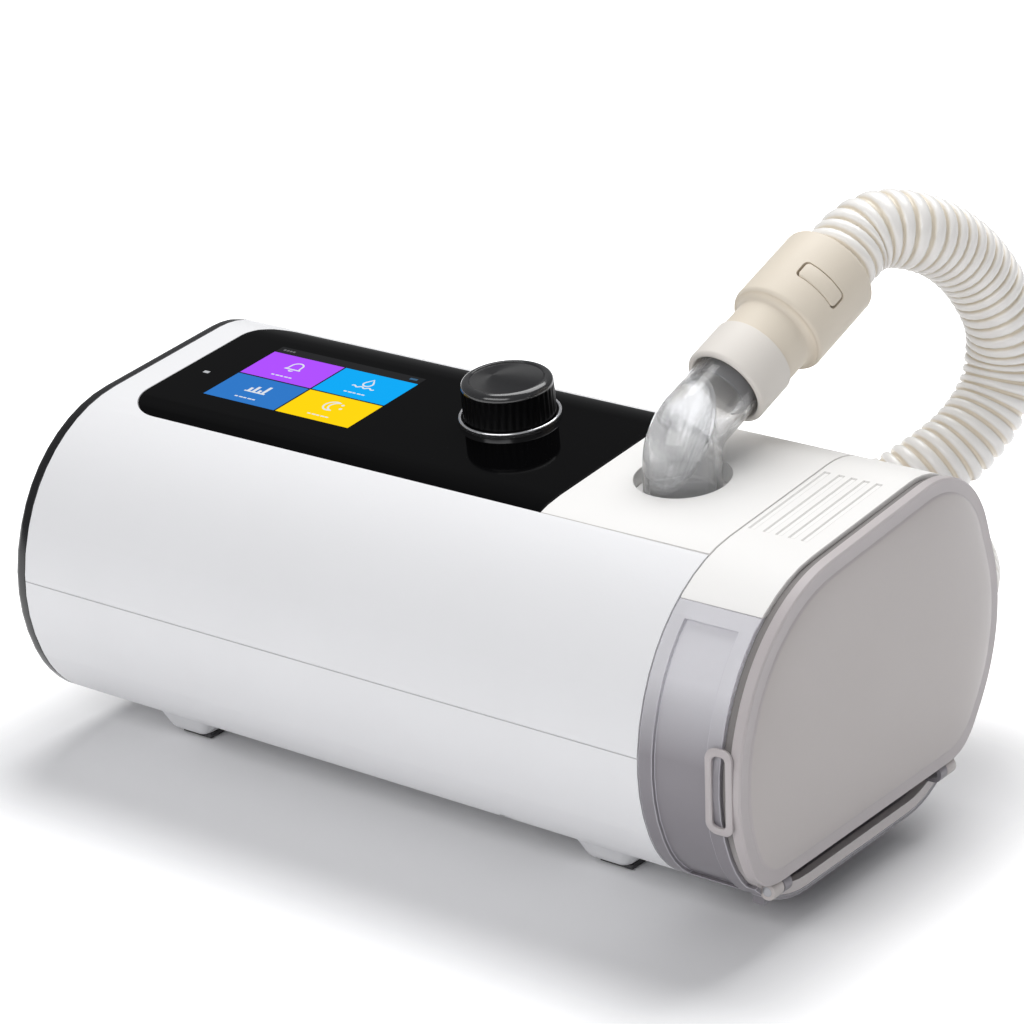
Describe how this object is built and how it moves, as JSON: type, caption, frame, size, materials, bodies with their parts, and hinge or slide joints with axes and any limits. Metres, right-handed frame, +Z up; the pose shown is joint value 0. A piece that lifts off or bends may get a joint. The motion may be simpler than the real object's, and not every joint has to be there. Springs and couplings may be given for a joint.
{
  "type": "bilevel breathing machine",
  "caption": "Bedside bilevel breathing machine with display, turn-and-press knob, slide-out humidifier tank, swivel outlet elbow and ribbed hose.",
  "frame": {"origin": "bottom centre of the machine on the plane its feet stand on, without the hose and the pieces on it", "axes": "+X towards the tank end, -Y towards the front and the user, +Z up"},
  "size_m": [0.376, 0.3068, 0.1798],
  "materials": {
    "end_cap_black": "gloss black moulding",
    "case_white": "satin white moulding",
    "plate_white": "satin warm white moulding",
    "foot_rubber": "matte rubber",
    "screw_steel": "plain steel",
    "panel_glass": "gloss black panel",
    "display": "lit colour display",
    "lamp_white": "clear light pipe",
    "board_green": "circuit board",
    "knob_black": "satin black with brushed top",
    "ring_silver": "bright ring",
    "inner_grey": "dark grey moulding",
    "motor_metal": "machined metal",
    "impeller_white": "light moulding",
    "filter_white": "pleated filter felt",
    "foam_dark": "open foam",
    "card_blue": "plain card",
    "jack_black": "black socket",
    "duct_grey": "grey moulding",
    "heater_metal": "bare plate",
    "seal_grey": "soft silicone",
    "elbow_clear": "clear polycarbonate",
    "sleeve_white": "warm grey-white",
    "collar_cream": "cream moulding",
    "button_cream": "cream button",
    "hose_cream": "ribbed hose",
    "tie_black": "strap",
    "cuff_grey": "soft cuff",
    "tank_frost": "frosted translucent",
    "lid_white": "satin white ribbed lid",
    "gasket_dark": "dark seal",
    "cover_frost": "smoky translucent"
  },
  "bodies": {
    "root": {"left_end_cap": "end_cap_black", "upper_housing": "case_white", "lower_housing": "case_white", "top_plate": "plate_white", "foot_pads": "foot_rubber", "housing_screws": "screw_steel", "control_panel": "panel_glass", "display_module": "display", "status_lamp": "lamp_white", "main_board": "board_green", "knob_ring": "ring_silver", "encoder_body": "inner_grey", "blower_mount": "foot_rubber", "blower_housing": "inner_grey", "blower_cover": "inner_grey", "blower_motor": "motor_metal", "filter_frame": "duct_grey", "intake_filter": "filter_white", "silencer_foam": "foam_dark", "card_slot": "screw_steel", "power_inlet": "jack_black", "outlet_duct": "duct_grey", "flow_sensor": "board_green", "tank_bay": "duct_grey", "heater_plate": "heater_metal", "inlet_seal": "seal_grey", "return_seal": "seal_grey", "outlet_channel": "duct_grey", "port_socket": "plate_white", "hose_tube": "hose_cream", "hose_hank": "hose_cream", "hank_tie": "tie_black", "mask_cuff": "cuff_grey"},
    "knob": {"knob": "knob_black", "encoder_shaft": "motor_metal"},
    "encoder_rotor": {"encoder_rotor": "motor_metal"},
    "impeller": {"impeller": "impeller_white", "motor_shaft": "motor_metal"},
    "filter_cover": {"filter_cover": "case_white"},
    "memory_card": {"memory_card": "card_blue"},
    "elbow": {"elbow": "elbow_clear", "hose_sleeve": "sleeve_white", "hose_collar": "collar_cream"},
    "release_button": {"release_button": "button_cream"},
    "tank": {"tank_base": "tank_frost", "tank_plate": "heater_metal", "tank_lid": "lid_white", "tank_gasket": "gasket_dark", "hinge_pins": "screw_steel"},
    "tank_end_cover": {"tank_end_cover": "cover_frost"}
  },
  "joints": [
    {"name": "knob_turn", "type": "hinge", "parent": "root", "child": "encoder_rotor", "pos_m": [-0.003, 0.0146, 0.11514], "axis": [0, -0.095, 0.9955], "continuous": true},
    {"name": "knob_press", "type": "slide", "parent": "encoder_rotor", "child": "knob", "axis": [0, 0.095, -0.9955], "range_m": [0, 0.0008], "stiffness_N_per_m": 2500, "springref_m": -0.001},
    {"name": "elbow_swivel", "type": "hinge", "parent": "root", "child": "elbow", "pos_m": [0.0695, 0.0038, 0.11], "axis": [0, 0, 1], "range_deg": [-25, 25], "deforming": ["hose_tube"]},
    {"name": "release_button_press", "type": "slide", "parent": "elbow", "child": "release_button", "axis": [-0.7146, 0.3444, -0.6089], "range_m": [0, 0.0012], "stiffness_N_per_m": 800, "springref_m": -0.002},
    {"name": "tank_slide", "type": "slide", "parent": "root", "child": "tank", "axis": [1, 0, 0], "range_m": [0, 0.055]},
    {"name": "end_cover_hinge", "type": "hinge", "parent": "tank", "child": "tank_end_cover", "pos_m": [0.1365, 0, 0.02], "axis": [0, 1, 0], "range_deg": [0, 85]},
    {"name": "impeller_spin", "type": "hinge", "parent": "root", "child": "impeller", "pos_m": [-0.087, 0, 0.06], "axis": [0, 0, 1], "continuous": true},
    {"name": "filter_cover_pull", "type": "slide", "parent": "root", "child": "filter_cover", "axis": [0, 1, 0], "range_m": [0, 0.012]},
    {"name": "memory_card_slide", "type": "slide", "parent": "root", "child": "memory_card", "axis": [0, 1, 0], "range_m": [0, 0.028]}
  ]
}
